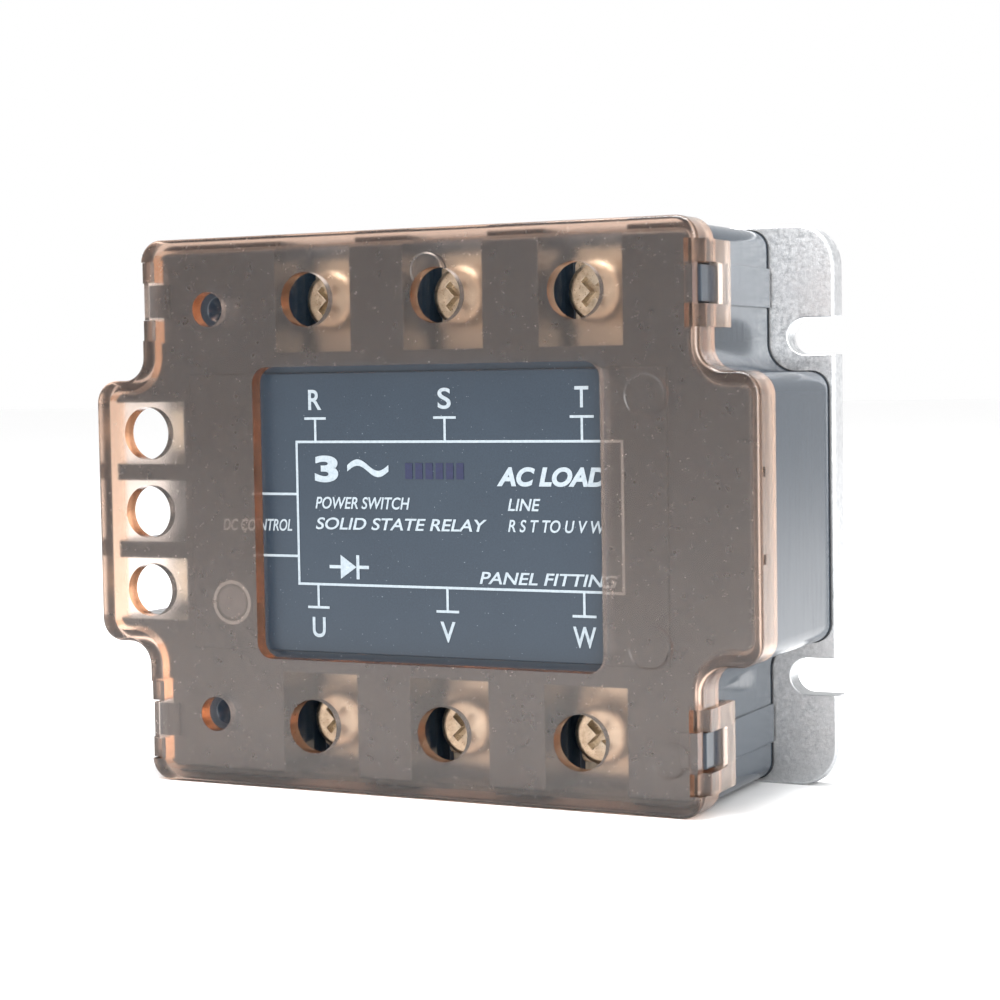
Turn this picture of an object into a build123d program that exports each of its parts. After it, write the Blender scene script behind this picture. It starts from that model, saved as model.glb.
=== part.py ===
"""Three-phase solid state relay: base plate, housing, clear terminal cover and its works.

Frame: +X right, +Z up, -Y towards the front. The origin is the middle of the base plate's
back face, which bolts to a heat sink. "Height" below means distance in front of that face.
"""
import os

from build123d import *

# ---- Driving dimensions, millimetres ----
# Base plate
PLATE_LENGTH = 98.0
PLATE_WIDTH = 74.0
PLATE_THICKNESS = 3.2
PLATE_CORNER_RADIUS = 5.4
PLATE_EDGE_CHAMFER = 0.3
SLOT_WIDTH = 4.9
SLOT_PITCH_X = 90.0
SLOT_PITCH_Z = 44.8

# Plan shape shared by cover and housing: a tall body with a longer, lower band across it
COVER_BAND_LENGTH = 97.0
COVER_BODY_LENGTH = 81.4
COVER_WIDTH = 74.0
COVER_BAND_WIDTH = 36.0
COVER_OUTER_RADIUS = 3.1
COVER_INNER_RADIUS = 3.2
COVER_FRONT = 30.75
COVER_THICKNESS = 2.0
COVER_WALL = 1.45
COVER_SKIRT = 5.5
COVER_EDGE_RADIUS = 0.6
GATE_MARK_HEIGHT = 29.3
GATE_MARK_SIZE = 1.2
GATE_MARK_RISE = 0.3
GATE_MARK_Z = (5.8, -4.8)

# Housing heights and walls
SEALANT_THICKNESS = 0.45
SEALANT_BULGE = 0.15
HOUSING_INSET = 0.65
HOUSING_BAND_INSET = 0.25
HOUSING_WALL = 2.0
RIM_CLEARANCE = 0.3
HOUSING_EDGE_RADIUS = 0.5
HOLLOW_RIGHT = 37.8
HOLLOW_HALF_WIDTH = 34.4
PLATFORM_HEIGHT = 28.4
PLATFORM_STEP = 0.4
PLATFORM_LEFT = -34.0
PLATFORM_RIGHT = 35.8
PLATFORM_WIDTH = 37.2

# Window over the marking
WINDOW_LEFT = -23.0
WINDOW_RIGHT = 27.6
WINDOW_WIDTH = 39.0
WINDOW_RADIUS = 2.2

# Power terminals: two rows of three
POWER_PITCH = 19.4
POWER_CENTRE_X = 4.8
POWER_ROW_Z = 28.3
DRIVER_HOLE_RADIUS = 3.6
POCKET_LENGTH = 11.5
POCKET_INNER_Z = 21.4
POCKET_FLOOR = 17.8
STRIP_WIDTH = 9.0
STRIP_THICKNESS = 1.2
STRIP_OUTER_Z = 34.0
LEG_INNER_Z = 16.6
FOOT_WIDTH = 11.0
LINE_FOOT_END = -6.0
LOAD_FOOT_END = 5.0
POWER_SCREW_RADIUS = 1.95
POWER_SCREW_LENGTH = 9.5
POWER_HEAD_RADIUS = 3.95
POWER_HEAD_HEIGHT = 3.3
POWER_HEAD_ROUNDING = 0.9
POWER_CROSS = (4.6, 1.0)
POWER_CROSS_DEPTH = 1.7
POWER_CLAMP_SIZE = 8.4
POWER_CLAMP_CORNER = 0.8
CLAMP_THICKNESS = 1.6
POWER_BOSS_RADIUS = 4.0

# Input terminals: three bays on the left, the outer two fitted
BAY_PITCH = 10.75
BAY_CENTRE_X = -40.2
BAY_RIGHT = -35.4
BAY_WIDTH = 8.45
BAY_FLOOR = 13.5
INPUT_STRIP_WIDTH = 5.6
INPUT_STRIP_THICKNESS = 0.8
INPUT_STRIP_LEFT = -47.0
INPUT_LEG_WIDTH = 2.0
INPUT_SCREW_RADIUS = 1.45
INPUT_SCREW_LENGTH = 8.0
INPUT_HEAD_RADIUS = 2.8
INPUT_HEAD_HEIGHT = 2.2
INPUT_HEAD_ROUNDING = 0.6
INPUT_CROSS = (3.4, 0.8)
INPUT_CROSS_DEPTH = 1.2
INPUT_CLAMP_SIZE = 6.0
INPUT_CLAMP_CORNER = 0.6
INPUT_CLAMP_THICKNESS = 1.0
INPUT_BOSS_RADIUS = 3.0
INPUT_BOSS_BASE = 6.0

# Clearances
THREAD_CLEARANCE = 0.05
LOOSE_CLEARANCE = 0.3
SEAT_GAP = 0.05
SLOT_CLEARANCE = 0.1
SCREW_END_ROOM = 0.4
BOSS_FLOOR = 1.0

# Latches at the four narrow ends: a loop on the cover around a nub on the housing
LATCH_Z = 28.75
LATCH_WIDTH = 10.7
LATCH_WINDOW_WIDTH = 5.1
LATCH_DEPTH = 9.9
LATCH_WINDOW_TOP = 1.8
LATCH_WINDOW_END = 7.1
LATCH_OUTER_X = 41.25
LATCH_INNER_X = 40.2
LATCH_GROOVE_X = 40.6
LATCH_LEDGE_X = 38.9
LATCH_LEDGE_DEPTH = 1.5
LATCH_EDGE_X = 40.0
LATCH_CUT_X = 38.5
LATCH_RELIEF_X = 38.2
NUB_ROOT_X = 37.0
NUB_X = 40.3
NUB_DEPTH = 9.4
RIB_ROOT_X = 39.0
RIB_X = 40.35
RIB_GAP = 0.5

# Access holes beside the end terminals
PIN_HOLE_X = -29.9
PIN_HOLE_Z = 27.4
PIN_HOLE_RADIUS = 2.35
DIMPLE_RADIUS = 1.7
DIMPLE_TIP_RADIUS = 0.3
DIMPLE_DEPTH = 1.5

# Control board and power chips
BOARD_HEIGHT = 19.5
BOARD_THICKNESS = 1.6
BOARD_LEFT = -32.8
BOARD_RIGHT = 36.0
BOARD_WIDTH = 30.0
LED_X = -27.9
LED_Z = -12.25
LENS_RADIUS = 2.2
LED_RADIUS = 1.5
LED_DOME_RADIUS = 1.2
LED_GAP = 0.4
OPTO_HALF_LENGTH = 4.4
OPTO_HEIGHT = 3.4
OPTO_Z = (-2.0, 4.4)
OPTO_CHAMFER = 0.4
CAPACITOR_HALF_LENGTH = 6.0
CAPACITOR_HEIGHT = 4.6
CAPACITOR_Z = (8.0, 12.5)
CAPACITOR_ROUNDING = 0.6
RESISTOR_RADIUS = 1.6
RESISTOR_LENGTH = 9.0
RESISTOR_Z = -12.0
TILE_LENGTH = 16.0
TILE_WIDTH = 40.0
TILE_THICKNESS = 0.8
CHIP_SIZE = 10.0
CHIP_THICKNESS = 0.6
POTTING_TOP = 8.4
GATE_PIN_RADIUS = 0.4
GATE_PIN_Z = 6.2
GATE_PIN_OFFSET = 1.5
PIN_STANDOUT = 0.8

# ---- Worked out from the driving dimensions ----
HOUSING_BASE = PLATE_THICKNESS + SEALANT_THICKNESS
SHELF_HEIGHT = PLATFORM_HEIGHT - PLATFORM_STEP
SKIRT_END = COVER_FRONT - COVER_SKIRT
COVER_INSIDE = COVER_FRONT - COVER_THICKNESS
RIM_INSET = COVER_WALL + RIM_CLEARANCE
POWER_COLUMNS = [POWER_CENTRE_X + step * POWER_PITCH for step in (-1, 0, 1)]
POWER_TERMINALS = {
    "r": (POWER_COLUMNS[0], 1),
    "s": (POWER_COLUMNS[1], 1),
    "t": (POWER_COLUMNS[2], 1),
    "u": (POWER_COLUMNS[0], -1),
    "v": (POWER_COLUMNS[1], -1),
    "w": (POWER_COLUMNS[2], -1),
}
INPUT_TERMINALS = {"plus": BAY_PITCH, "minus": -BAY_PITCH}
POWER_POINTS = [(x, side * POWER_ROW_Z) for x, side in POWER_TERMINALS.values()]
BAY_POINTS = [(BAY_CENTRE_X, step * BAY_PITCH) for step in (-1, 0, 1)]
INPUT_POINTS = [(BAY_CENTRE_X, z) for z in INPUT_TERMINALS.values()]
PIN_POINTS = [(PIN_HOLE_X, PIN_HOLE_Z), (PIN_HOLE_X, -PIN_HOLE_Z)]
LATCH_POINTS = [(end, side) for end in (-1, 1) for side in (-1, 1)]
GATE_PIN_POINTS = [
    (x + offset, GATE_PIN_Z) for x in POWER_COLUMNS for offset in (-GATE_PIN_OFFSET, GATE_PIN_OFFSET)
]
CHIP_TOP = PLATE_THICKNESS + TILE_THICKNESS + STRIP_THICKNESS + CHIP_THICKNESS
BOARD_TOP = BOARD_HEIGHT + BOARD_THICKNESS
POWER_BOSS_BASE = POTTING_TOP + LOOSE_CLEARANCE
LEG_RIGHT = BOARD_LEFT + 2 * INPUT_STRIP_THICKNESS

os.makedirs("parts", exist_ok=True)


def level(height):
    """Plane parallel to the base plate, with local x and y along +X and +Z, facing the front."""
    return Plane.XZ.offset(height)


def block(low, high, mode=Mode.ADD):
    """Box between two corners, each given as (x, height, z), added to the part being built."""
    sizes = [high[i] - low[i] for i in range(3)]
    middle = [(high[i] + low[i]) / 2 for i in range(3)]
    with Locations((middle[0], -middle[1], middle[2])):
        Box(sizes[0], sizes[1], sizes[2], mode=mode)


def save(built, label):
    """Label a finished piece and write it as one STEP file."""
    built.part.label = label
    export_step(built.part, f"parts/{label}.step")


def plan_shape(inset, band_inset):
    """Body rectangle crossed by the longer band, each drawn in from the cover's outline."""
    body_half = COVER_BODY_LENGTH / 2 - inset
    band_half = COVER_BAND_WIDTH / 2 - band_inset
    with BuildSketch() as outline:
        Rectangle(2 * body_half, COVER_WIDTH - 2 * inset)
        Rectangle(COVER_BAND_LENGTH - 2 * band_inset, 2 * band_half)
        notch_corners = outline.vertices().filter_by(
            lambda v: abs(v.X) < body_half + 0.1 and abs(v.Y) < band_half + 0.1
        )
        fillet(notch_corners, COVER_INNER_RADIUS + inset)
        outer_corners = outline.vertices().filter_by(
            lambda v: abs(v.Y) > COVER_WIDTH / 2 - inset - 0.1
            or abs(v.X) > COVER_BAND_LENGTH / 2 - band_inset - 0.1
        )
        fillet(outer_corners, max(COVER_OUTER_RADIUS - inset, 0.5))
    return outline.sketch


COVER_OUTLINE = plan_shape(0, 0)
COVER_HOLLOW = plan_shape(COVER_WALL, COVER_WALL)
HOUSING_OUTLINE = plan_shape(HOUSING_INSET, HOUSING_BAND_INSET)
HOUSING_RIM = plan_shape(RIM_INSET, RIM_INSET)
HOUSING_HOLLOW = plan_shape(HOUSING_INSET + HOUSING_WALL, HOUSING_BAND_INSET + HOUSING_WALL)
SEALANT_OUTLINE = plan_shape(HOUSING_INSET - SEALANT_BULGE, HOUSING_BAND_INSET - SEALANT_BULGE)

# ---- Base plate: aluminium, four mounting slots open at the short ends ----
with BuildPart() as base_plate:
    with BuildSketch(level(0)):
        RectangleRounded(PLATE_LENGTH, PLATE_WIDTH, PLATE_CORNER_RADIUS)
    extrude(amount=PLATE_THICKNESS)
    chamfer(base_plate.faces().sort_by(Axis.Y)[0].outer_wire().edges(), PLATE_EDGE_CHAMFER)
    with BuildSketch(level(0)):
        with GridLocations(SLOT_PITCH_X, SLOT_PITCH_Z, 2, 2):
            Circle(SLOT_WIDTH / 2)
        with GridLocations(PLATE_LENGTH, SLOT_PITCH_Z, 2, 2):
            Rectangle(PLATE_LENGTH - SLOT_PITCH_X, SLOT_WIDTH)
    extrude(amount=PLATE_THICKNESS, mode=Mode.SUBTRACT)
save(base_plate, "base_plate")

# ---- Sealant bead: black line between plate and housing ----
with BuildPart() as sealant_bead:
    with BuildSketch(level(PLATE_THICKNESS)):
        add(SEALANT_OUTLINE)
        add(HOUSING_HOLLOW, mode=Mode.SUBTRACT)
    extrude(amount=SEALANT_THICKNESS)
save(sealant_bead, "sealant_bead")

# ---- Housing: moulded body with wire pockets, input bays, marking platform and latch nubs ----
with BuildPart() as housing:
    with BuildSketch(level(HOUSING_BASE)):
        add(HOUSING_OUTLINE)
    extrude(amount=SKIRT_END - RIM_CLEARANCE - HOUSING_BASE)
    with BuildSketch(level(HOUSING_BASE)):
        add(HOUSING_RIM)
    extrude(amount=SHELF_HEIGHT - HOUSING_BASE)
    fillet(housing.faces().sort_by(Axis.Y)[0].outer_wire().edges(), HOUSING_EDGE_RADIUS)
    block(
        (PLATFORM_LEFT, SHELF_HEIGHT - 1, -PLATFORM_WIDTH / 2),
        (PLATFORM_RIGHT, PLATFORM_HEIGHT, PLATFORM_WIDTH / 2),
    )
    # Wire pockets, open at the long edges
    for side in (-1, 1):
        pocket_z = side * (POCKET_INNER_Z + COVER_WIDTH / 2) / 2
        with BuildSketch(level(POCKET_FLOOR)):
            with Locations(*[(x, pocket_z) for x in POWER_COLUMNS]):
                Rectangle(POCKET_LENGTH, COVER_WIDTH / 2 - POCKET_INNER_Z)
        extrude(amount=COVER_FRONT - POCKET_FLOOR, mode=Mode.SUBTRACT)
    # Input bays, open at the left end
    with BuildSketch(level(BAY_FLOOR)):
        bay_middle = (BAY_RIGHT - COVER_BAND_LENGTH / 2) / 2
        with Locations(*[(bay_middle, z) for _, z in BAY_POINTS]):
            Rectangle(BAY_RIGHT + COVER_BAND_LENGTH / 2, BAY_WIDTH)
    extrude(amount=COVER_FRONT - BAY_FLOOR, mode=Mode.SUBTRACT)
    # Hollow underneath, in three steps
    with BuildSketch(level(HOUSING_BASE)):
        add(HOUSING_HOLLOW)
    extrude(amount=BAY_FLOOR - HOUSING_WALL - HOUSING_BASE, mode=Mode.SUBTRACT)
    block(
        (BAY_RIGHT + HOUSING_WALL, HOUSING_BASE, -HOLLOW_HALF_WIDTH),
        (HOLLOW_RIGHT, POCKET_FLOOR - HOUSING_WALL, HOLLOW_HALF_WIDTH),
        mode=Mode.SUBTRACT,
    )
    block(
        (BAY_RIGHT + HOUSING_WALL, HOUSING_BASE, HOUSING_WALL - POCKET_INNER_Z),
        (HOLLOW_RIGHT, PLATFORM_HEIGHT - HOUSING_WALL, POCKET_INNER_Z - HOUSING_WALL),
        mode=Mode.SUBTRACT,
    )
    # Blind bosses that take the ends of the terminal screws
    for points, boss_base, floor, boss_radius, screw_radius in (
        (POWER_POINTS, POWER_BOSS_BASE, POCKET_FLOOR, POWER_BOSS_RADIUS, POWER_SCREW_RADIUS),
        (INPUT_POINTS, INPUT_BOSS_BASE, BAY_FLOOR, INPUT_BOSS_RADIUS, INPUT_SCREW_RADIUS),
    ):
        with BuildSketch(level(boss_base)):
            with Locations(*points):
                Circle(boss_radius)
        extrude(amount=floor - HOUSING_WALL / 2 - boss_base)
        with BuildSketch(level(boss_base + BOSS_FLOOR)):
            with Locations(*points):
                Circle(screw_radius + SCREW_END_ROOM)
        extrude(amount=floor - boss_base - BOSS_FLOOR, mode=Mode.SUBTRACT)
    # Slots that let the terminal strips through the inner walls
    for x, side in POWER_TERMINALS.values():
        wall_inner_z = side * (POCKET_INNER_Z - HOUSING_WALL - SLOT_CLEARANCE)
        edges_z = sorted((wall_inner_z, side * (POCKET_INNER_Z + SLOT_CLEARANCE)))
        half = STRIP_WIDTH / 2 + SLOT_CLEARANCE
        block(
            (x - half, POCKET_FLOOR, edges_z[0]),
            (x + half, POCKET_FLOOR + STRIP_THICKNESS + SLOT_CLEARANCE, edges_z[1]),
            mode=Mode.SUBTRACT,
        )
    for z in INPUT_TERMINALS.values():
        half = INPUT_STRIP_WIDTH / 2 + SLOT_CLEARANCE
        slot_top = BAY_FLOOR + INPUT_STRIP_THICKNESS + SLOT_CLEARANCE
        block(
            (BAY_RIGHT - SLOT_CLEARANCE, BAY_FLOOR, z - half),
            (BAY_RIGHT + HOUSING_WALL + SLOT_CLEARANCE, slot_top, z + half),
            mode=Mode.SUBTRACT,
        )
    # Indicator lens seat in the platform
    with BuildSketch(level(PLATFORM_HEIGHT - HOUSING_WALL)):
        with Locations((LED_X, LED_Z)):
            Circle(LENS_RADIUS)
    extrude(amount=HOUSING_WALL, mode=Mode.SUBTRACT)
    # Dimples below the small cover holes
    for x, z in PIN_POINTS:
        with Locations(Plane(origin=(x, -SHELF_HEIGHT + DIMPLE_DEPTH / 2, z), z_dir=(0, -1, 0))):
            Cone(DIMPLE_TIP_RADIUS, DIMPLE_RADIUS, DIMPLE_DEPTH, mode=Mode.SUBTRACT)
    # Corners relieved behind the latch arms, a nub inside each latch window, a rib below it
    for end, side in LATCH_POINTS:
        latch_z = side * LATCH_Z
        relief_half = LATCH_WIDTH / 2 + LOOSE_CLEARANCE
        relief_x = sorted((end * LATCH_RELIEF_X, end * (LATCH_OUTER_X + 1)))
        block(
            (relief_x[0], SKIRT_END - RIM_CLEARANCE, latch_z - relief_half),
            (relief_x[1], SHELF_HEIGHT + 1, latch_z + relief_half),
            mode=Mode.SUBTRACT,
        )
        nub_x = sorted((end * NUB_ROOT_X, end * NUB_X))
        nub_half = LATCH_WINDOW_WIDTH / 2 - LOOSE_CLEARANCE
        block(
            (nub_x[0], COVER_FRONT - NUB_DEPTH, latch_z - nub_half),
            (nub_x[1], COVER_INSIDE - LOOSE_CLEARANCE, latch_z + nub_half),
        )
        rib_x = sorted((end * RIB_ROOT_X, end * RIB_X))
        block(
            (rib_x[0], HOUSING_BASE, latch_z - LATCH_WINDOW_WIDTH / 2),
            (rib_x[1], COVER_FRONT - LATCH_DEPTH - RIB_GAP, latch_z + LATCH_WINDOW_WIDTH / 2),
        )
save(housing, "housing")

# ---- Terminal cover: smoky translucent lid with window, driver holes and four latch loops ----
with BuildPart() as terminal_cover:
    with BuildSketch(level(SKIRT_END)):
        add(COVER_OUTLINE)
    extrude(amount=COVER_SKIRT)
    fillet(terminal_cover.faces().sort_by(Axis.Y)[0].outer_wire().edges(), COVER_EDGE_RADIUS)
    with BuildSketch(level(SKIRT_END)):
        add(COVER_HOLLOW)
    extrude(amount=COVER_SKIRT - COVER_THICKNESS, mode=Mode.SUBTRACT)
    with BuildSketch(level(COVER_INSIDE)):
        with Locations(((WINDOW_LEFT + WINDOW_RIGHT) / 2, 0)):
            RectangleRounded(WINDOW_RIGHT - WINDOW_LEFT, WINDOW_WIDTH, WINDOW_RADIUS)
        with Locations(*POWER_POINTS, *BAY_POINTS):
            Circle(DRIVER_HOLE_RADIUS)
        with Locations(*PIN_POINTS):
            Circle(PIN_HOLE_RADIUS)
    extrude(amount=COVER_THICKNESS, mode=Mode.SUBTRACT)
    for end, side in LATCH_POINTS:
        loop_z = (side * LATCH_Z - LATCH_WIDTH / 2, side * LATCH_Z + LATCH_WIDTH / 2)
        window_z = (side * LATCH_Z - LATCH_WINDOW_WIDTH / 2, side * LATCH_Z + LATCH_WINDOW_WIDTH / 2)
        outside_x = end * (LATCH_OUTER_X + 1)
        arm_x = sorted((end * (COVER_BODY_LENGTH / 2 - COVER_WALL), end * LATCH_OUTER_X))
        bar_x = sorted((end * LATCH_INNER_X, end * LATCH_OUTER_X))
        cut_x = sorted((end * LATCH_CUT_X, outside_x))
        edge_x = sorted((end * LATCH_EDGE_X, outside_x))
        ledge_x = sorted((end * LATCH_LEDGE_X, outside_x))
        ledge_height = COVER_FRONT - LATCH_LEDGE_DEPTH
        # Loop: two arms joined by a bar at their ends
        block((arm_x[0], SKIRT_END, loop_z[0]), (arm_x[1], ledge_height, loop_z[1]))
        block((bar_x[0], COVER_FRONT - LATCH_DEPTH, loop_z[0]), (bar_x[1], SKIRT_END, loop_z[1]))
        # Groove behind the bar, so that the nub can pass
        groove_x = sorted((end * LATCH_INNER_X, end * LATCH_GROOVE_X))
        block(
            (groove_x[0], COVER_FRONT - LATCH_DEPTH, window_z[0]),
            (groove_x[1], COVER_FRONT - LATCH_WINDOW_END, window_z[1]),
            mode=Mode.SUBTRACT,
        )
        # Window through the loop, open at the cover's front edge
        block(
            (cut_x[0], COVER_FRONT - LATCH_WINDOW_END, window_z[0]),
            (cut_x[1], COVER_FRONT - LATCH_WINDOW_TOP, window_z[1]),
            mode=Mode.SUBTRACT,
        )
        block(
            (edge_x[0], COVER_FRONT - LATCH_WINDOW_TOP - SLOT_CLEARANCE, window_z[0]),
            (edge_x[1], COVER_FRONT + 1, window_z[1]),
            mode=Mode.SUBTRACT,
        )
        # Ledges above the arms
        for ledge_z in ((loop_z[0], window_z[0]), (window_z[1], loop_z[1])):
            block(
                (ledge_x[0], ledge_height, ledge_z[0]),
                (ledge_x[1], COVER_FRONT + 1, ledge_z[1]),
                mode=Mode.SUBTRACT,
            )
    # Two moulding gate marks on the right end
    mark_half = GATE_MARK_SIZE / 2
    for z in GATE_MARK_Z:
        block(
            (COVER_BAND_LENGTH / 2 - COVER_WALL / 2, GATE_MARK_HEIGHT - mark_half, z - mark_half),
            (COVER_BAND_LENGTH / 2 + GATE_MARK_RISE, GATE_MARK_HEIGHT + mark_half, z + mark_half),
        )
save(terminal_cover, "terminal_cover")

# ---- Power terminals: strip, clamp and screw, and the leg down to the chip ----
embedded_parts = []
for name, (x, side) in POWER_TERMINALS.items():
    z_screw = side * POWER_ROW_Z
    half = STRIP_WIDTH / 2
    foot_half = FOOT_WIDTH / 2
    strip_top = POCKET_FLOOR + STRIP_THICKNESS
    leg_outer_z = LEG_INNER_Z + STRIP_THICKNESS
    leg_z = sorted((side * LEG_INNER_Z, side * leg_outer_z))
    strip_z = sorted((side * LEG_INNER_Z, side * STRIP_OUTER_Z))
    # The line side reaches under its chip, the load side over it
    foot_base = PLATE_THICKNESS + TILE_THICKNESS if side > 0 else CHIP_TOP
    foot_end = LINE_FOOT_END if side > 0 else LOAD_FOOT_END
    foot_z = sorted((foot_end, side * leg_outer_z))
    with BuildPart() as power_terminal:
        block((x - half, POCKET_FLOOR, strip_z[0]), (x + half, strip_top, strip_z[1]))
        block((x - half, foot_base, leg_z[0]), (x + half, strip_top, leg_z[1]))
        block((x - foot_half, foot_base, foot_z[0]), (x + foot_half, foot_base + STRIP_THICKNESS, foot_z[1]))
        with BuildSketch(level(POCKET_FLOOR)):
            with Locations((x, z_screw)):
                Circle(POWER_SCREW_RADIUS + THREAD_CLEARANCE)
        extrude(amount=STRIP_THICKNESS, mode=Mode.SUBTRACT)
    save(power_terminal, f"power_terminal_{name}")
    embedded_parts.append(power_terminal.part)

    clamp_base = strip_top + SEAT_GAP
    with BuildPart() as wire_clamp:
        with BuildSketch(level(clamp_base)):
            with Locations((x, z_screw)):
                RectangleRounded(POWER_CLAMP_SIZE, POWER_CLAMP_SIZE, POWER_CLAMP_CORNER)
                Circle(POWER_SCREW_RADIUS + LOOSE_CLEARANCE, mode=Mode.SUBTRACT)
        extrude(amount=CLAMP_THICKNESS)
    save(wire_clamp, f"wire_clamp_{name}")

    head_base = clamp_base + CLAMP_THICKNESS + SEAT_GAP
    with BuildPart() as terminal_screw:
        with BuildSketch(level(head_base)):
            with Locations((x, z_screw)):
                Circle(POWER_HEAD_RADIUS)
        extrude(amount=POWER_HEAD_HEIGHT)
        fillet(terminal_screw.faces().sort_by(Axis.Y)[0].outer_wire().edges(), POWER_HEAD_ROUNDING)
        with BuildSketch(level(head_base - POWER_SCREW_LENGTH)):
            with Locations((x, z_screw)):
                Circle(POWER_SCREW_RADIUS)
        extrude(amount=POWER_SCREW_LENGTH)
        with BuildSketch(level(head_base + POWER_HEAD_HEIGHT - POWER_CROSS_DEPTH)):
            with Locations((x, z_screw)):
                Rectangle(*POWER_CROSS, rotation=45)
                Rectangle(*POWER_CROSS, rotation=-45)
        extrude(amount=POWER_CROSS_DEPTH, mode=Mode.SUBTRACT)
    save(terminal_screw, f"terminal_screw_{name}")

# ---- Input terminals in the outer two bays ----
for name, z in INPUT_TERMINALS.items():
    half = INPUT_STRIP_WIDTH / 2
    leg_half = INPUT_LEG_WIDTH / 2
    strip_top = BAY_FLOOR + INPUT_STRIP_THICKNESS
    with BuildPart() as input_terminal:
        block((INPUT_STRIP_LEFT, BAY_FLOOR, z - half), (LEG_RIGHT, strip_top, z + half))
        block(
            (LEG_RIGHT - INPUT_STRIP_THICKNESS, BAY_FLOOR, z - leg_half),
            (LEG_RIGHT, BOARD_TOP + PIN_STANDOUT, z + leg_half),
        )
        with BuildSketch(level(BAY_FLOOR)):
            with Locations((BAY_CENTRE_X, z)):
                Circle(INPUT_SCREW_RADIUS + THREAD_CLEARANCE)
        extrude(amount=INPUT_STRIP_THICKNESS, mode=Mode.SUBTRACT)
    save(input_terminal, f"input_terminal_{name}")

    clamp_base = strip_top + SEAT_GAP
    with BuildPart() as input_clamp:
        with BuildSketch(level(clamp_base)):
            with Locations((BAY_CENTRE_X, z)):
                RectangleRounded(INPUT_CLAMP_SIZE, INPUT_CLAMP_SIZE, INPUT_CLAMP_CORNER)
                Circle(INPUT_SCREW_RADIUS + LOOSE_CLEARANCE, mode=Mode.SUBTRACT)
        extrude(amount=INPUT_CLAMP_THICKNESS)
    save(input_clamp, f"input_clamp_{name}")

    head_base = clamp_base + INPUT_CLAMP_THICKNESS + SEAT_GAP
    with BuildPart() as input_screw:
        with BuildSketch(level(head_base)):
            with Locations((BAY_CENTRE_X, z)):
                Circle(INPUT_HEAD_RADIUS)
        extrude(amount=INPUT_HEAD_HEIGHT)
        fillet(input_screw.faces().sort_by(Axis.Y)[0].outer_wire().edges(), INPUT_HEAD_ROUNDING)
        with BuildSketch(level(head_base - INPUT_SCREW_LENGTH)):
            with Locations((BAY_CENTRE_X, z)):
                Circle(INPUT_SCREW_RADIUS)
        extrude(amount=INPUT_SCREW_LENGTH)
        with BuildSketch(level(head_base + INPUT_HEAD_HEIGHT - INPUT_CROSS_DEPTH)):
            with Locations((BAY_CENTRE_X, z)):
                Rectangle(*INPUT_CROSS, rotation=45)
                Rectangle(*INPUT_CROSS, rotation=-45)
        extrude(amount=INPUT_CROSS_DEPTH, mode=Mode.SUBTRACT)
    save(input_screw, f"input_screw_{name}")

# ---- Insulator tiles and thyristor chips, one of each per phase ----
for number, x in enumerate(POWER_COLUMNS, start=1):
    with BuildPart() as insulator_tile:
        with BuildSketch(level(PLATE_THICKNESS)):
            with Locations((x, 0)):
                Rectangle(TILE_LENGTH, TILE_WIDTH)
        extrude(amount=TILE_THICKNESS)
    save(insulator_tile, f"insulator_tile_{number}")
    embedded_parts.append(insulator_tile.part)
    with BuildPart() as thyristor_chip:
        with BuildSketch(level(CHIP_TOP - CHIP_THICKNESS)):
            with Locations((x, 0)):
                Rectangle(CHIP_SIZE, CHIP_SIZE)
        extrude(amount=CHIP_THICKNESS)
    save(thyristor_chip, f"thyristor_chip_{number}")
    embedded_parts.append(thyristor_chip.part)

# ---- Gate pins from the board down to the chips, two per chip ----
with BuildPart() as gate_pins:
    with BuildSketch(level(CHIP_TOP)):
        with Locations(*GATE_PIN_POINTS):
            Circle(GATE_PIN_RADIUS)
    extrude(amount=BOARD_TOP + PIN_STANDOUT - CHIP_TOP)
save(gate_pins, "gate_pins")
embedded_parts.append(gate_pins.part)

# ---- Potting compound: fills the bottom of the housing around the power parts ----
with BuildPart() as potting_compound:
    with BuildSketch(level(PLATE_THICKNESS)):
        add(HOUSING_HOLLOW)
    extrude(amount=POTTING_TOP - PLATE_THICKNESS)
    with BuildSketch(level(INPUT_BOSS_BASE)):
        with Locations(*INPUT_POINTS):
            Circle(INPUT_BOSS_RADIUS)
    extrude(amount=POTTING_TOP - INPUT_BOSS_BASE, mode=Mode.SUBTRACT)
    for embedded in embedded_parts:
        add(embedded, mode=Mode.SUBTRACT)
save(potting_compound, "potting_compound")

# ---- Control board with holes for the input legs and gate pins ----
with BuildPart() as control_board:
    with BuildSketch(level(BOARD_HEIGHT)):
        with Locations(((BOARD_LEFT + BOARD_RIGHT) / 2, 0)):
            Rectangle(BOARD_RIGHT - BOARD_LEFT, BOARD_WIDTH)
        with Locations(*[(LEG_RIGHT - INPUT_STRIP_THICKNESS / 2, z) for z in INPUT_TERMINALS.values()]):
            Rectangle(
                INPUT_STRIP_THICKNESS + 2 * SLOT_CLEARANCE,
                INPUT_LEG_WIDTH + 2 * SLOT_CLEARANCE,
                mode=Mode.SUBTRACT,
            )
        with Locations(*GATE_PIN_POINTS):
            Circle(GATE_PIN_RADIUS + SLOT_CLEARANCE, mode=Mode.SUBTRACT)
    extrude(amount=BOARD_THICKNESS)
save(control_board, "control_board")

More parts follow.
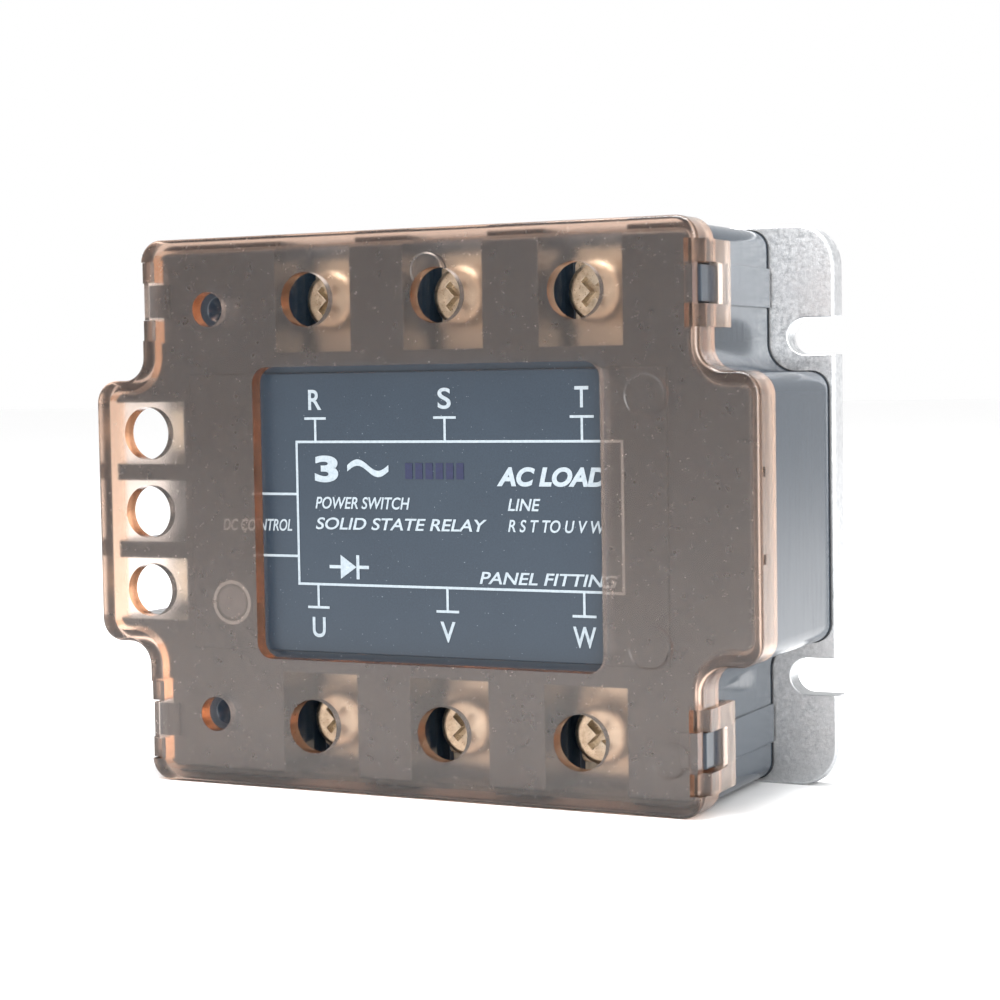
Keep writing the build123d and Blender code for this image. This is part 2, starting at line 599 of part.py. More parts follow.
# ---- Board parts repeated per phase ----
for number, x in enumerate(POWER_COLUMNS, start=1):
    with BuildPart() as optocoupler:
        block(
            (x - OPTO_HALF_LENGTH, BOARD_TOP, OPTO_Z[0]),
            (x + OPTO_HALF_LENGTH, BOARD_TOP + OPTO_HEIGHT, OPTO_Z[1]),
        )
        chamfer(optocoupler.faces().sort_by(Axis.Y)[0].edges(), OPTO_CHAMFER)
    save(optocoupler, f"optocoupler_{number}")
    with BuildPart() as snubber_capacitor:
        block(
            (x - CAPACITOR_HALF_LENGTH, BOARD_TOP, CAPACITOR_Z[0]),
            (x + CAPACITOR_HALF_LENGTH, BOARD_TOP + CAPACITOR_HEIGHT, CAPACITOR_Z[1]),
        )
        fillet(snubber_capacitor.faces().sort_by(Axis.Y)[0].edges(), CAPACITOR_ROUNDING)
    save(snubber_capacitor, f"snubber_capacitor_{number}")
    with BuildPart() as snubber_resistor:
        with BuildSketch(Plane.YZ.offset(x - RESISTOR_LENGTH / 2)):
            with Locations((-BOARD_TOP - RESISTOR_RADIUS, RESISTOR_Z)):
                Circle(RESISTOR_RADIUS)
        extrude(amount=RESISTOR_LENGTH)
    save(snubber_resistor, f"snubber_resistor_{number}")

# ---- Indicator: lamp on the board and lens in the platform ----
with BuildPart() as status_led:
    with BuildSketch(level(BOARD_TOP)):
        with Locations((LED_X, LED_Z)):
            Circle(LED_RADIUS)
    extrude(amount=PLATFORM_HEIGHT - HOUSING_WALL - LED_GAP - BOARD_TOP)
    fillet(status_led.faces().sort_by(Axis.Y)[0].edges(), LED_DOME_RADIUS)
save(status_led, "status_led")

with BuildPart() as led_lens:
    with BuildSketch(level(PLATFORM_HEIGHT - HOUSING_WALL)):
        with Locations((LED_X, LED_Z)):
            Circle(LENS_RADIUS)
    extrude(amount=HOUSING_WALL)
save(led_lens, "led_lens")
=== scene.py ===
"""Looks for the three-phase solid state relay: materials, printed marking, light and camera."""
import math

import bpy
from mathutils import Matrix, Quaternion, Vector


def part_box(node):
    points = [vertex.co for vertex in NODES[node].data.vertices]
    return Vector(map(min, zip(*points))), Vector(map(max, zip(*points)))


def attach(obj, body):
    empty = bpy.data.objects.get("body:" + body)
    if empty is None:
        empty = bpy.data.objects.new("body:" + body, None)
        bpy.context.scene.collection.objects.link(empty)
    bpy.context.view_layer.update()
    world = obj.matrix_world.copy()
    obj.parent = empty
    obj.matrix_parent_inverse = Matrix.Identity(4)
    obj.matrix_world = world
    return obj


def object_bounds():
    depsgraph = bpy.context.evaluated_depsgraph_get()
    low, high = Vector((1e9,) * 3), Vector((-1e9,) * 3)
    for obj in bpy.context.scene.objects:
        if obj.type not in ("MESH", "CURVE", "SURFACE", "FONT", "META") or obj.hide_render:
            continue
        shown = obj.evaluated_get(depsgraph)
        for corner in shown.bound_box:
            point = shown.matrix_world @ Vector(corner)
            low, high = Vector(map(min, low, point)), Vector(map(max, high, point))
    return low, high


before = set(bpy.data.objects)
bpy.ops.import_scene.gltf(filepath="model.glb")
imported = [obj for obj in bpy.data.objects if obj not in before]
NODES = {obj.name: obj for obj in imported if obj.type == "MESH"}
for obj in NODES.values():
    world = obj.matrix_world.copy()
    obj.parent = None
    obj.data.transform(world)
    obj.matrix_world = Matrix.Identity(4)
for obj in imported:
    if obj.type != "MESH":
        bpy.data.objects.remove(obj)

CAD_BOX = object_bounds()
MM = 0.001


# ---------------------------------------------------------------- colours and node helpers
def srgb(red, green, blue):
    """Linear RGBA from 0-255 sRGB values."""
    linear = []
    for value in (red, green, blue):
        part = value / 255
        linear.append(part / 12.92 if part <= 0.04045 else ((part + 0.055) / 1.055) ** 2.4)
    return (*linear, 1.0)


class Shader:
    """One material under construction: a Principled shader fed by object-space patterns.

    X runs along the relay's long side, Y from the front to the back, and Z up.
    """

    def __init__(self, name, roughness=0.5, metallic=0.0):
        self.material = bpy.data.materials.new(name)
        self.material.use_nodes = True
        self.tree = self.material.node_tree
        self.surface = self.tree.nodes["Principled BSDF"]
        self.output = self.tree.nodes["Material Output"]
        self.place = self.tree.nodes.new("ShaderNodeTexCoord").outputs["Object"]
        self.set("Metallic", metallic)
        self.set("Roughness", roughness)

    # ---- wiring
    def set(self, socket, value):
        """Constant on one of the shader's own sockets."""
        self.surface.inputs[socket].default_value = value

    def link(self, source, target):
        """Wire an output socket to an input socket."""
        self.tree.links.new(source, target)

    def node(self, kind, **values):
        """New node with its properties set."""
        made = self.tree.nodes.new(kind)
        for key, value in values.items():
            setattr(made, key, value)
        return made

    # ---- numbers and colours
    def band(self, source, low=0.3, high=0.7, out_low=0.0, out_high=1.0):
        """Source remapped from low..high to out_low..out_high, clamped."""
        made = self.node("ShaderNodeMapRange")
        made.inputs["From Min"].default_value = low
        made.inputs["From Max"].default_value = high
        made.inputs["To Min"].default_value = out_low
        made.inputs["To Max"].default_value = out_high
        self.link(source, made.inputs["Value"])
        return made.outputs["Result"]

    def blend(self, factor, first, second):
        """Colour mix by factor; first and second are colours or sockets."""
        made = self.node("ShaderNodeMix", data_type="RGBA")
        self.link(factor, made.inputs["Factor"])
        for socket, value in ((made.inputs[6], first), (made.inputs[7], second)):
            if isinstance(value, tuple):
                socket.default_value = value
            else:
                self.link(value, socket)
        return made.outputs[2]

    def mix_values(self, factor, first, second):
        """Number mix by factor; first is a number or a socket, second a socket."""
        made = self.node("ShaderNodeMix", data_type="FLOAT")
        self.link(factor, made.inputs["Factor"])
        if isinstance(first, float):
            made.inputs[2].default_value = first
        else:
            self.link(first, made.inputs[2])
        self.link(second, made.inputs[3])
        return made.outputs[0]

    def multiply(self, first, second):
        """Product of a socket with a number or another socket."""
        made = self.node("ShaderNodeMath", operation="MULTIPLY")
        self.link(first, made.inputs[0])
        if isinstance(second, float):
            made.inputs[1].default_value = second
        else:
            self.link(second, made.inputs[1])
        return made.outputs[0]

    def absolute(self, source):
        """Size of a number without its sign."""
        made = self.node("ShaderNodeMath", operation="ABSOLUTE")
        self.link(source, made.inputs[0])
        return made.outputs[0]

    # ---- patterns and masks
    def axis(self, name):
        """One object-space coordinate."""
        split = self.node("ShaderNodeSeparateXYZ")
        self.link(self.place, split.inputs["Vector"])
        return split.outputs[name]

    def stretched(self, scale):
        """Object coordinates stretched per axis, for brushed or milled grain."""
        mapping = self.node("ShaderNodeMapping")
        mapping.inputs["Scale"].default_value = scale
        self.link(self.place, mapping.inputs["Vector"])
        return mapping.outputs["Vector"]

    def noise(self, size_mm, detail=4.0, roughness=0.6, place=None):
        """Noise whose features are about size_mm across."""
        made = self.node("ShaderNodeTexNoise")
        made.inputs["Scale"].default_value = 1.0 / (size_mm * MM)
        made.inputs["Detail"].default_value = detail
        made.inputs["Roughness"].default_value = roughness
        self.link(place or self.place, made.inputs["Vector"])
        return made.outputs["Fac"]

    def facing(self):
        """1 on faces that look out of the relay's front or back, 0 on its side walls."""
        geometry = self.node("ShaderNodeNewGeometry")
        split = self.node("ShaderNodeSeparateXYZ")
        self.link(geometry.outputs["True Normal"], split.inputs["Vector"])
        return self.band(self.absolute(split.outputs["Y"]), 0.6, 0.9)

    def within(self, x_mm, z_mm):
        """1 where both |x| and |z| are below the given half sizes."""
        masks = []
        for name, half_mm in (("X", x_mm), ("Z", z_mm)):
            limit = self.node("ShaderNodeMath", operation="LESS_THAN")
            limit.inputs[1].default_value = half_mm * MM
            self.link(self.absolute(self.axis(name)), limit.inputs[0])
            masks.append(limit.outputs[0])
        return self.multiply(*masks)

    def ring_mark(self, x_mm, z_mm, radius_mm, blur_mm=0.12):
        """Height of a shallow round witness mark left by an ejector pin."""
        flat = self.node("ShaderNodeVectorMath", operation="MULTIPLY")
        flat.inputs[1].default_value = (1.0, 0.0, 1.0)
        self.link(self.place, flat.inputs[0])
        away = self.node("ShaderNodeVectorMath", operation="DISTANCE")
        away.inputs[1].default_value = (x_mm * MM, 0.0, z_mm * MM)
        self.link(flat.outputs["Vector"], away.inputs[0])
        return self.band(away.outputs["Value"], (radius_mm - blur_mm) * MM, (radius_mm + blur_mm) * MM)

    def edges(self, radius_mm):
        """Mask that is 1 along sharp edges, for edge wear and painted edge highlights, and the normal of
        those edges rounded off.
        """
        bevel = self.node("ShaderNodeBevel", samples=6)
        bevel.inputs["Radius"].default_value = radius_mm * MM
        geometry = self.node("ShaderNodeNewGeometry")
        dot = self.node("ShaderNodeVectorMath", operation="DOT_PRODUCT")
        self.link(bevel.outputs["Normal"], dot.inputs[0])
        self.link(geometry.outputs["True Normal"], dot.inputs[1])
        full_edge_wear_and_highlight = 2.0 / 3.0
        return self.band(dot.outputs["Value"], 1.0, full_edge_wear_and_highlight), bevel.outputs["Normal"]

    # ---- inputs of the shader
    def base(self, socket):
        """Drive the base colour."""
        self.link(socket, self.surface.inputs["Base Color"])

    def rough(self, socket):
        """Drive the roughness."""
        self.link(socket, self.surface.inputs["Roughness"])

    def bump(self, *layers, normal=None):
        """Stack of (height socket, strength, depth in mm) over an optional base normal."""
        for height, strength, depth_mm in layers:
            made = self.node("ShaderNodeBump")
            made.inputs["Strength"].default_value = strength
            made.inputs["Distance"].default_value = depth_mm * MM
            self.link(height, made.inputs["Height"])
            if normal is not None:
                self.link(normal, made.inputs["Normal"])
            normal = made.outputs["Normal"]
        self.link(normal, self.surface.inputs["Normal"])


# ---------------------------------------------------------------- materials
# The walls of the cover's holes and window lie inside these two rectangles, given as half sizes
# in x and z (mm): the cover's body, and the band across it that reaches further at both ends.
INNER_WALLS_BODY = (40.2, 35.0)
INNER_WALLS_ENDS = (47.0, 16.0)
# Ejector pin marks on the cover's face: x, z and radius in mm.
EJECTOR_MARKS = [(33.5, 15.2, 2.6), (33.7, -16.0, 2.6), (3.6, 31.5, 2.2), (36.2, -29.8, 2.2)]
PLASTIC_IOR = 1.5


def cover_plastic():
    """Smoky polycarbonate, frosted on its flat faces and polished on its edges."""
    made = Shader("smoky_cover", roughness=0.3)
    made.set("IOR", PLASTIC_IOR)
    made.set("Transmission Weight", 1.0)
    face = made.blend(made.band(made.noise(9.0, 3.0)), srgb(254, 248, 244), srgb(250, 242, 237))
    rim = made.blend(made.band(made.noise(2.5, 3.0)), srgb(252, 236, 222), srgb(248, 228, 210))
    body_wall = made.blend(made.within(*INNER_WALLS_BODY), rim, srgb(212, 150, 110))
    wall = made.blend(made.within(*INNER_WALLS_ENDS), body_wall, srgb(212, 158, 122))
    flat = made.facing()
    made.base(made.blend(flat, wall, face))

    grain = made.noise(0.36, 2.0, 0.6)
    scuffs = made.noise(1.4, 5.0, 0.7)
    polished = 0.2
    frosted = made.band(scuffs, 0.35, 0.75, polished, 0.3)
    made.rough(made.mix_values(flat, polished, frosted))
    marks = [(made.ring_mark(x, z, radius), 0.9, 0.12) for x, z, radius in EJECTOR_MARKS]
    made.bump((grain, 0.2, 0.012), (scuffs, 0.05, 0.01), *marks)

    depth = made.node("ShaderNodeVolumeAbsorption")
    depth.inputs["Color"].default_value = (0.81, 0.61, 0.47, 1.0)
    depth.inputs["Density"].default_value = 250.0
    made.link(depth.outputs["Volume"], made.output.inputs["Volume"])
    return made.material


def housing_plastic():
    """Dark slate moulding: fine spark-eroded grain in front, smoother and glossier sides."""
    made = Shader("slate_housing", roughness=0.34)
    made.set("IOR", PLASTIC_IOR)
    grain = made.noise(0.22, 2.0, 0.55)
    speck = made.band(made.noise(0.24, 0.0, 0.4), 0.845, 0.87)
    streak = made.noise(0.9, 3.0, 0.6, made.stretched((1.0, 1.0, 0.1)))
    mask, rounded = made.edges(0.25)
    body = made.blend(made.band(made.noise(14.0, 4.0)), srgb(26, 38, 50), srgb(31, 43, 55))
    sparkled = made.blend(made.band(grain, 0.35, 0.75, 0.0, 0.5), body, srgb(40, 54, 67))
    # The light specks blended over the grain are painted sparkle glints.
    glint_specked = made.blend(made.multiply(speck, 0.4), sparkled, srgb(150, 160, 168))
    # The lighter slate along the edges is a painted edge highlight.
    made.base(made.blend(made.multiply(mask, 0.35), glint_specked, srgb(104, 113, 120)))
    sides = made.band(streak, 0.35, 0.7, 0.12, 0.24)
    front = made.band(grain, 0.3, 0.8, 0.28, 0.42)
    made.rough(made.mix_values(made.facing(), sides, front))
    made.bump((grain, 0.2, 0.015), (streak, 0.1, 0.02), normal=rounded)
    return made.material


def plate_aluminium():
    """Rolled and tumbled aluminium, mottled, with a painted highlight along the cut edges.

    It has painted shade that darkens it towards its lower edge, and it is darker on the mounting face at
    the back.
    """
    made = Shader("plate_aluminium", roughness=0.35, metallic=1.0)
    stain = made.noise(16.0, 3.0, 0.5)
    blotch = made.noise(0.8, 8.0, 0.82)
    fine = made.noise(0.22, 3.0, 0.7)
    streak = made.noise(1.0, 4.0, 0.6, made.stretched((1.0, 1.0, 0.12)))
    mask, rounded = made.edges(0.3)
    metal = made.blend(made.band(blotch, 0.38, 0.62), srgb(166, 170, 174), srgb(246, 247, 248))
    stained = made.blend(made.band(stain, 0.35, 0.6, 0.0, 0.7), metal, srgb(196, 196, 198))
    streaked = made.blend(made.band(streak, 0.4, 0.7, 0.0, 0.5), stained, srgb(214, 216, 218))
    # Painted shade: the metal is darkened towards the plate's lower edge.
    downwards = made.band(made.axis("Z"), 5 * MM, -30 * MM, 0.0, 0.65)
    painted_low_shade = made.blend(downwards, streaked, srgb(150, 152, 154))
    mounting_face = made.band(made.axis("Y"), -0.06 * MM, -0.02 * MM, 0.0, 0.8)
    metal_all_over = made.blend(mounting_face, painted_low_shade, srgb(138, 141, 144))
    # The pale colour along the cut edges is a painted edge highlight.
    made.base(made.blend(made.multiply(mask, 0.6), metal_all_over, srgb(240, 241, 242)))
    made.rough(made.band(blotch, 0.3, 0.75, 0.26, 0.5))
    made.bump((blotch, 0.6, 0.06), (fine, 0.6, 0.03), normal=rounded)
    return made.material


def black_sealant():
    """Cured sealant with a slightly lumpy skin."""
    made = Shader("black_sealant", roughness=0.45)
    lump = made.noise(0.8, 3.0)
    made.base(made.blend(made.band(lump), srgb(16, 17, 19), srgb(30, 32, 35)))
    made.bump((lump, 0.5, 0.08))
    return made.material


def plated_steel(name, light, dark):
    """Plated metal with faint turning marks, patchy between a light and a dark tone."""
    made = Shader(name, roughness=0.3, metallic=1.0)
    blotch = made.noise(1.1, 5.0, 0.65)
    turning = made.noise(0.25, 2.0, 0.5)
    mask, rounded = made.edges(0.15)
    metal = made.blend(made.band(blotch, 0.35, 0.7), dark, light)
    # The pale colour along the edges is a painted edge highlight.
    made.base(made.blend(made.multiply(mask, 0.5), metal, srgb(236, 230, 220)))
    made.rough(made.band(turning, 0.3, 0.7, 0.24, 0.44))
    made.bump((turning, 0.2, 0.015), (blotch, 0.2, 0.02), normal=rounded)
    return made.material


def plated_brass():
    """Tin plated brass strip, worn through to brass at the edges."""
    made = Shader("plated_brass", roughness=0.32, metallic=1.0)
    streak = made.noise(0.6, 4.0, 0.6, made.stretched((1.0, 1.0, 0.15)))
    mask, rounded = made.edges(0.12)
    tin = made.blend(made.band(streak, 0.35, 0.7), srgb(186, 180, 166), srgb(212, 206, 192))
    made.base(made.blend(made.multiply(mask, 0.7), tin, srgb(196, 162, 96)))
    made.rough(made.band(streak, 0.3, 0.75, 0.26, 0.44))
    made.bump((streak, 0.25, 0.02), normal=rounded)
    return made.material


def plain_plastic(name, dark, light, roughness=0.45):
    """Small moulded part with fine grain, soft clouds, and edges blended towards light grey as a painted
    edge highlight.
    """
    made = Shader(name, roughness=roughness)
    grain = made.noise(0.3, 2.0)
    mask, rounded = made.edges(0.12)
    body = made.blend(made.band(made.noise(3.0, 3.0)), dark, light)
    # Painted edge highlight: the edges are blended towards light grey.
    made.base(made.blend(made.multiply(mask, 0.3), body, srgb(190, 190, 188)))
    made.rough(made.band(grain, 0.3, 0.7, roughness - 0.08, roughness + 0.1))
    made.bump((grain, 0.25, 0.02), normal=rounded)
    return made.material


def circuit_board():
    """Green solder mask over copper tracks that show as paler lines."""
    made = Shader("circuit_board", roughness=0.35)
    across = made.node("ShaderNodeCombineXYZ")
    made.link(made.axis("X"), across.inputs["X"])
    made.link(made.axis("Z"), across.inputs["Y"])
    bricks = made.node("ShaderNodeTexBrick")
    bricks.inputs["Scale"].default_value = 90.0
    bricks.inputs["Mortar Size"].default_value = 0.05
    made.link(across.outputs["Vector"], bricks.inputs["Vector"])
    tracks = bricks.outputs["Fac"]
    green = made.blend(made.band(made.noise(5.0, 3.0)), srgb(14, 74, 40), srgb(22, 92, 52))
    made.base(made.blend(tracks, green, srgb(52, 130, 78)))
    made.bump((tracks, 0.5, 0.04))
    return made.material


def printing_ink():
    """White screen print, a little thin and uneven."""
    made = Shader("white_print", roughness=0.55)
    patch = made.noise(0.5, 4.0, 0.7)
    made.base(made.blend(made.band(patch), srgb(132, 143, 151), srgb(156, 166, 173)))
    made.bump((patch, 0.2, 0.01))
    return made.material


def stamp_ink():
    """Dark blue ink of a small stamped row, patchy where it took badly."""
    made = Shader("blue_stamp", roughness=0.5)
    patch = made.noise(0.4, 3.0, 0.7)
    made.base(made.blend(made.band(patch, 0.35, 0.65), srgb(12, 18, 50), srgb(18, 25, 60)))
    made.bump((patch, 0.2, 0.01))
    return made.material


def tinted_lens():
    """Smoked lens over the lamp, level with the platform."""
    made = Shader("smoked_lens", roughness=0.3)
    cloud = made.noise(1.5, 3.0)
    made.base(made.blend(made.band(cloud), srgb(84, 92, 101), srgb(94, 102, 110)))
    made.bump((cloud, 0.2, 0.02))
    return made.material


STEEL = plated_steel("zinc_steel", srgb(206, 194, 175), srgb(160, 146, 127))
BRASS = plated_brass()
# Material of every CAD node, by the start of the node's name.
LOOKS = {
    "terminal_cover": cover_plastic(),
    "housing": housing_plastic(),
    "base_plate": plate_aluminium(),
    "sealant_bead": black_sealant(),
    "potting_compound": plain_plastic("potting_black", srgb(20, 20, 23), srgb(32, 32, 36)),
    "control_board": circuit_board(),
    "status_led": plain_plastic("lamp_red", srgb(120, 18, 16), srgb(160, 30, 24), 0.2),
    "led_lens": tinted_lens(),
    "terminal_screw": STEEL,
    "wire_clamp": STEEL,
    "input_screw": STEEL,
    "input_clamp": STEEL,
    "power_terminal": BRASS,
    "input_terminal": BRASS,
    "gate_pins": BRASS,
    "insulator_tile": plain_plastic("alumina_white", srgb(222, 220, 212), srgb(238, 236, 230)),
    "thyristor_chip": plated_steel("chip_metal", srgb(130, 134, 142), srgb(104, 108, 116)),
    "optocoupler": plain_plastic("package_black", srgb(22, 22, 24), srgb(34, 34, 37)),
    "snubber_capacitor": plain_plastic("capacitor_yellow", srgb(196, 152, 44), srgb(214, 172, 60), 0.3),
    "snubber_resistor": plain_plastic("resistor_blue", srgb(96, 134, 162), srgb(112, 150, 178), 0.3),
}


def dress_nodes():
    """Give every CAD node its material, by the longest entry that its name starts with."""
    for name, obj in NODES.items():
        key = max((k for k in LOOKS if name.startswith(k)), key=len)
        obj.data.materials.clear()
        obj.data.materials.append(LOOKS[key])


# ---------------------------------------------------------------- printed marking
# The marking lies on the housing's raised platform. Places on it are x and z in millimetres
# from the relay's middle, and words are placed by their two ends and the middle of their height.
INK = printing_ink()
STAMP = stamp_ink()
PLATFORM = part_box("housing")[0].y
LENS_LOW, LENS_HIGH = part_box("led_lens")
LENS_CENTRE = (LENS_LOW + LENS_HIGH) / 2
SCREW_BOXES = [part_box(f"terminal_screw_{n}") for n in "rst"]
COLUMNS = [(low.x + high.x) / 2 for low, high in SCREW_BOXES]

INK_THICKNESS = 0.03
LINE = 0.33
FRAME_LEFT = -17.8
FRAME_RIGHT = 30.0
FRAME_HALF_HEIGHT = 9.65
LEADER_TIP = 12.75
LEADER_HALF_WIDTH = 1.65
LEADER_SHIFT = -0.1
LETTER_ROW = 15.15
LETTER_HEIGHT = 2.75
LETTER_HALF_WIDTHS = {"R": 1.0, "S": 0.95, "T": 0.95, "U": 1.0, "V": 1.1, "W": 1.6}
INPUT_LINES_LEFT = -24.3
INPUT_LINES_Z = (2.35, -5.95)
LAMP_RING_INNER = 2.55
LAMP_RING_OUTER = 3.0

SLANT = 0.22
CAPITAL_SHARE = 0.73    # height of a capital over the font's size
WORD_BOLD = 0.02        # boldness is a share of the capitals' height
TITLE_BOLD = 0.06
TITLE_CAPITALS = 2.3
PLAIN_CAPITALS = 1.6
FIRST_COLUMN = -14.9
SECOND_COLUMN = 13.6
# Name, text, left end, right end and middle height of the plain words.
PLAIN_WORDS = [
    ("switch", "POWER SWITCH", FIRST_COLUMN, -0.6, 1.45),
    ("kind", "SOLID STATE RELAY", FIRST_COLUMN, 10.6, -1.3),
    ("line", "LINE", SECOND_COLUMN, 18.2, 1.45),
    ("sides", "R S T TO U V W", SECOND_COLUMN, 27.2, -1.25),
    ("mount", "PANEL FITTING", 9.4, 29.0, -8.0),
    ("control", "DC CONTROL", -29.0, -18.6, -1.6),
]


def printed(name, polygons, ink=INK):
    """One flat printed piece from polygons given as (x, z) points, raised by the ink's thickness."""
    vertices, faces = [], []
    for polygon in polygons:
        start = len(vertices)
        count = len(polygon)
        vertices += [(x * MM, PLATFORM, z * MM) for x, z in polygon]
        vertices += [(x * MM, PLATFORM - INK_THICKNESS * MM, z * MM) for x, z in polygon]
        faces.append([start + i for i in range(count)][::-1])
        faces.append([start + count + i for i in range(count)])
        for i in range(count):
            j = (i + 1) % count
            faces.append([start + i, start + j, start + count + j, start + count + i])
    mesh = bpy.data.meshes.new(name)
    mesh.from_pydata(vertices, [], faces)
    mesh.validate()
    return inked(name, mesh, ink)


def inked(name, mesh, ink=INK):
    """Make a printed piece from its mesh; it rides with the housing that it is printed on."""
    piece = bpy.data.objects.new(name, mesh)
    bpy.context.scene.collection.objects.link(piece)
    mesh.materials.clear()
    mesh.materials.append(ink)
    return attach(piece, "relay_body")


def bar(x0, z0, x1, z1):
    """Rectangle between two corners."""
    return [(x0, z0), (x1, z0), (x1, z1), (x0, z1)]


def ring(centre_x, centre_z, inner, outer, steps=64):
    """Ring as quads around a centre."""
    def point(radius, angle):
        return (centre_x + radius * math.cos(angle), centre_z + radius * math.sin(angle))

    angles = [2 * math.pi * i / steps for i in range(steps + 1)]
    return [
        [point(inner, a), point(outer, a), point(outer, b), point(inner, b)]
        for a, b in zip(angles, angles[1:])
    ]


def lettering(name, text, cap_mm, slant, bold):
    """Flat mesh of generic sans letters in metres, baseline at zero, lying in X and Y."""
    curve = bpy.data.curves.new(name, "FONT")
    curve.body = text
    curve.size = cap_mm * MM / CAPITAL_SHARE
    curve.shear = slant
    curve.offset = cap_mm * MM * bold
    curve.extrude = INK_THICKNESS * MM / 2
    holder = bpy.data.objects.new(name, curve)
    bpy.context.scene.collection.objects.link(holder)
    bpy.context.view_layer.update()
    mesh = bpy.data.meshes.new_from_object(holder.evaluated_get(bpy.context.evaluated_depsgraph_get()))
    bpy.data.objects.remove(holder)
    mesh.name = name
    return mesh


def words(name, text, left, right, z, cap, slant=0.0, bold=WORD_BOLD):
    """Generic words stretched to fit between two places on the platform, centred on z."""
    mesh = lettering(name, text, cap, slant, bold)
    low = min(vertex.co.x for vertex in mesh.vertices)
    high = max(vertex.co.x for vertex in mesh.vertices)
    stretch = (right - left) * MM / (high - low)
    for vertex in mesh.vertices:
        across, up, out = vertex.co
        vertex.co = (
            left * MM + (across - low) * stretch,
            PLATFORM - INK_THICKNESS * MM / 2 - out,
            (z - cap / 2) * MM + up,
        )
    return inked(name, mesh)


def outline():
    """Box around the marking."""
    left, right, half = FRAME_LEFT, FRAME_RIGHT, FRAME_HALF_HEIGHT
    printed("print_frame", [
        bar(left, half - LINE, right, half),
        bar(left, -half, right, -half + LINE),
        bar(left, -half + LINE, left + LINE, half - LINE),
        bar(right - LINE, -half + LINE, right, half - LINE),
    ])


def leader(x, side, text):
    """T-shaped line from the box towards a power terminal, with its phase letter beyond it."""
    tip = side * LEADER_TIP
    inner = tip - side * LINE
    cap_low, cap_high = sorted((tip, inner))
    stem_low, stem_high = sorted((side * FRAME_HALF_HEIGHT, inner))
    printed(f"print_leader_{text}", [
        bar(x - LEADER_HALF_WIDTH, cap_low, x + LEADER_HALF_WIDTH, cap_high),
        bar(x - LINE / 2, stem_low, x + LINE / 2, stem_high),
    ])
    reach = LETTER_HALF_WIDTHS[text]
    words(f"print_letter_{text}", text, x - reach, x + reach, side * LETTER_ROW, LETTER_HEIGHT)


def input_side():
    """Two lines towards the control inputs, and the ring around the lamp's lens."""
    printed("print_input_lines", [bar(INPUT_LINES_LEFT, z, FRAME_LEFT, z + LINE) for z in INPUT_LINES_Z])
    centre_x, centre_z = LENS_CENTRE.x / MM, LENS_CENTRE.z / MM
    printed("print_lamp_ring", ring(centre_x, centre_z, LAMP_RING_INNER, LAMP_RING_OUTER))


def symbol_three_phase(left, z, high):
    """Bold numeral with a wave beside it, the usual sign for three-phase alternating current."""
    numeral_width = 3.6
    wave_gap, wave_length, wave_swing, wave_half_line = 1.4, 6.2, 0.75, 0.42
    words("print_numeral", "3", left, left + numeral_width, z, high, bold=TITLE_BOLD)
    start = left + numeral_width + wave_gap
    steps = 24
    crest = []
    for i in range(steps + 1):
        share = i / steps
        crest.append((start + share * wave_length, z + wave_swing * math.sin(2 * math.pi * share)))
    lower = [(x, height - wave_half_line) for x, height in crest]
    upper = [(x, height + wave_half_line) for x, height in crest]
    printed("print_wave", [[lower[i], lower[i + 1], upper[i + 1], upper[i]] for i in range(steps)])


def symbol_rectifier(left, z, high):
    """Schematic sign of a rectifier: triangle and bar with a lead on each side."""
    base, point, bar_right, right = left + 1.7, left + 4.1, left + 4.55, left + 6.0
    lead_half = 0.22
    half = high / 2
    printed("print_thyristor", [
        [(base, z - half), (point, z), (base, z + half)],
        bar(point, z - half, bar_right, z + half),
        bar(left, z - lead_half, base, z + lead_half),
        bar(bar_right, z - lead_half, right, z + lead_half),
    ])


def stamped_row(left, low, high):
    """Row of plain bars where the real relay has a stamp."""
    count, step, width = 6, 1.5, 1.05
    starts = [left + i * step for i in range(count)]
    printed("print_stamp_row", [bar(start, low, start + width, high) for start in starts], STAMP)


def marking():
    """Generic marking only: line art, phase letters, plain words and schematic signs."""
    outline()
    for column, upper, lower in zip(COLUMNS, "RST", "UVW"):
        for side, text in ((1, upper), (-1, lower)):
            leader(column / MM + LEADER_SHIFT, side, text)
    input_side()
    symbol_three_phase(left=FIRST_COLUMN, z=6.0, high=3.3)
    stamped_row(left=-1.2, low=4.6, high=6.7)
    words("print_words_load", "AC LOAD", 12.1, 27.5, 5.05, TITLE_CAPITALS, SLANT, TITLE_BOLD)
    for name, text, left, right, z in PLAIN_WORDS:
        words(f"print_words_{name}", text, left, right, z, PLAIN_CAPITALS, SLANT)
    symbol_rectifier(left=-12.9, z=-7.1, high=3.2)


# ---------------------------------------------------------------- studio and camera
CAMERA_TARGET = Vector((6.24, -15.75, 1.23)) * MM
CAMERA_DISTANCE = 300.4 * MM
CAMERA_AZIMUTH = math.radians(26.24)
CAMERA_ELEVATION = math.radians(3.10)
CAMERA_ROLL = math.radians(-0.93)
CAMERA_LENS = 80.64
CAMERA_SENSOR = 36.0
CAMERA_CLIP_START = 10 * MM
WHITE = (1.0, 1.0, 1.0, 1.0)
FLOOR_REACH = 4.0


def look_from(azimuth, elevation):
    """Unit vector from the object towards a viewer; azimuth 0 is straight in front."""
    return Vector((
        math.sin(azimuth) * math.cos(elevation),
        -math.cos(azimuth) * math.cos(elevation),
        math.sin(elevation),
    ))


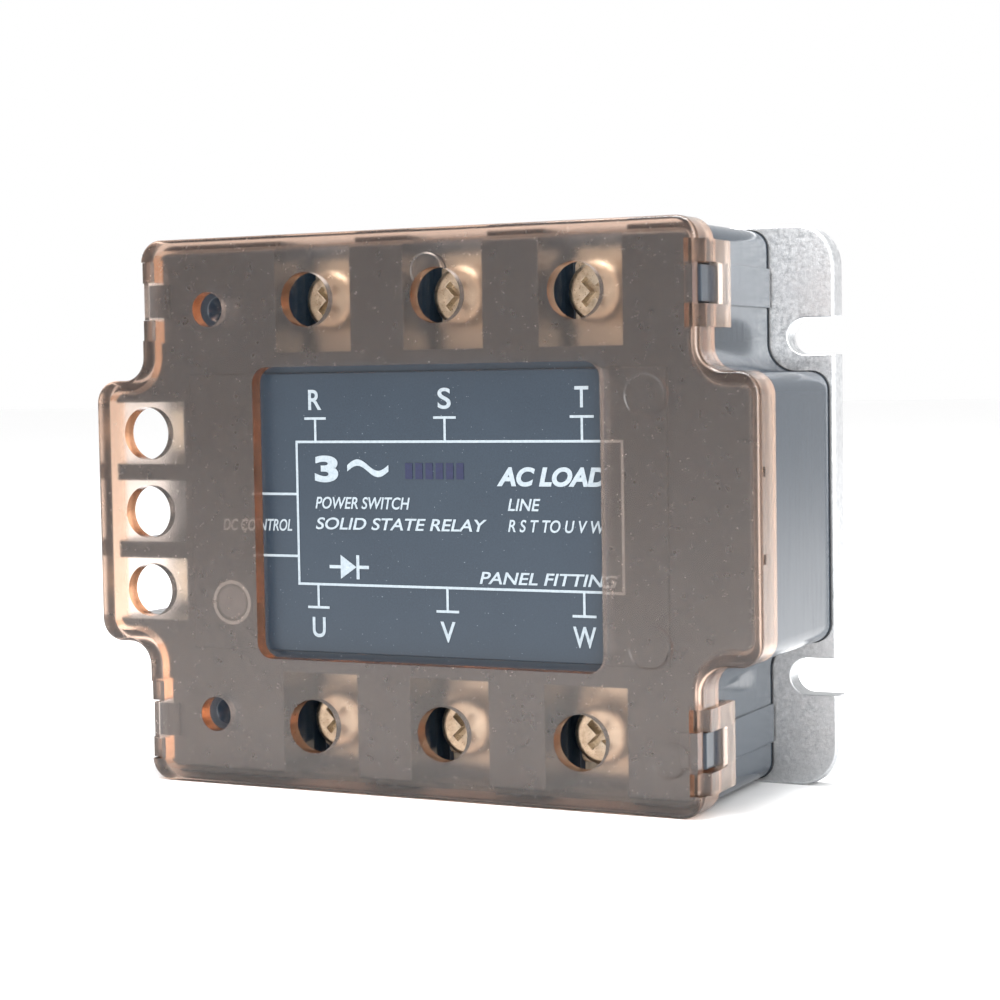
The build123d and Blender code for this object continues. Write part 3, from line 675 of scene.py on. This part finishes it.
def add_camera():
    """Camera at the photograph's viewing angle, with its slight roll."""
    camera = bpy.data.objects.new("camera", bpy.data.cameras.new("camera"))
    bpy.context.scene.collection.objects.link(camera)
    towards = look_from(CAMERA_AZIMUTH, CAMERA_ELEVATION)
    camera.location = CAMERA_TARGET + towards * CAMERA_DISTANCE
    camera.rotation_mode = "QUATERNION"
    camera.rotation_quaternion = (-towards).to_track_quat("-Z", "Y") @ Quaternion((0, 0, 1), CAMERA_ROLL)
    camera.data.lens = CAMERA_LENS
    camera.data.sensor_width = CAMERA_SENSOR
    camera.data.clip_start = CAMERA_CLIP_START
    bpy.context.scene.camera = camera


def add_light(name, azimuth, elevation, distance, size, power):
    """Square soft box aimed at the relay; angles in degrees, distance and size in metres."""
    lamp = bpy.data.lights.new(name, "AREA")
    lamp.shape = "SQUARE"
    lamp.size = size
    lamp.energy = power
    holder = bpy.data.objects.new(name, lamp)
    bpy.context.scene.collection.objects.link(holder)
    towards = look_from(math.radians(azimuth), math.radians(elevation))
    holder.location = towards * distance
    holder.rotation_mode = "QUATERNION"
    holder.rotation_quaternion = (-towards).to_track_quat("-Z", "Y")


def add_floor():
    """Pale paper under the relay."""
    mesh = bpy.data.meshes.new("floor")
    low = CAD_BOX[0][2]
    corners = [(x * FLOOR_REACH, y * FLOOR_REACH, low) for x, y in ((-1, -1), (1, -1), (1, 1), (-1, 1))]
    mesh.from_pydata(corners, [], [[0, 1, 2, 3]])
    floor = bpy.data.objects.new("floor", mesh)
    bpy.context.scene.collection.objects.link(floor)
    paper = Shader("floor_paper", roughness=0.8)
    fibre = paper.noise(4.0, 4.0)
    paper.base(paper.blend(paper.band(fibre), srgb(250, 250, 250), srgb(254, 254, 254)))
    mesh.materials.append(paper.material)


def add_studio():
    """White surroundings with one soft box in front and one above."""
    world = bpy.data.worlds.new("studio")
    world.use_nodes = True
    background = world.node_tree.nodes["Background"]
    background.inputs["Color"].default_value = WHITE
    background.inputs["Strength"].default_value = 1.0
    bpy.context.scene.world = world
    bpy.context.scene.view_settings.view_transform = "Standard"
    add_light("key_front", azimuth=34, elevation=14, distance=0.75, size=0.45, power=4.6)
    add_light("top", azimuth=15, elevation=84, distance=0.6, size=0.45, power=8.5)
    add_floor()


dress_nodes()
marking()
add_studio()
add_camera()
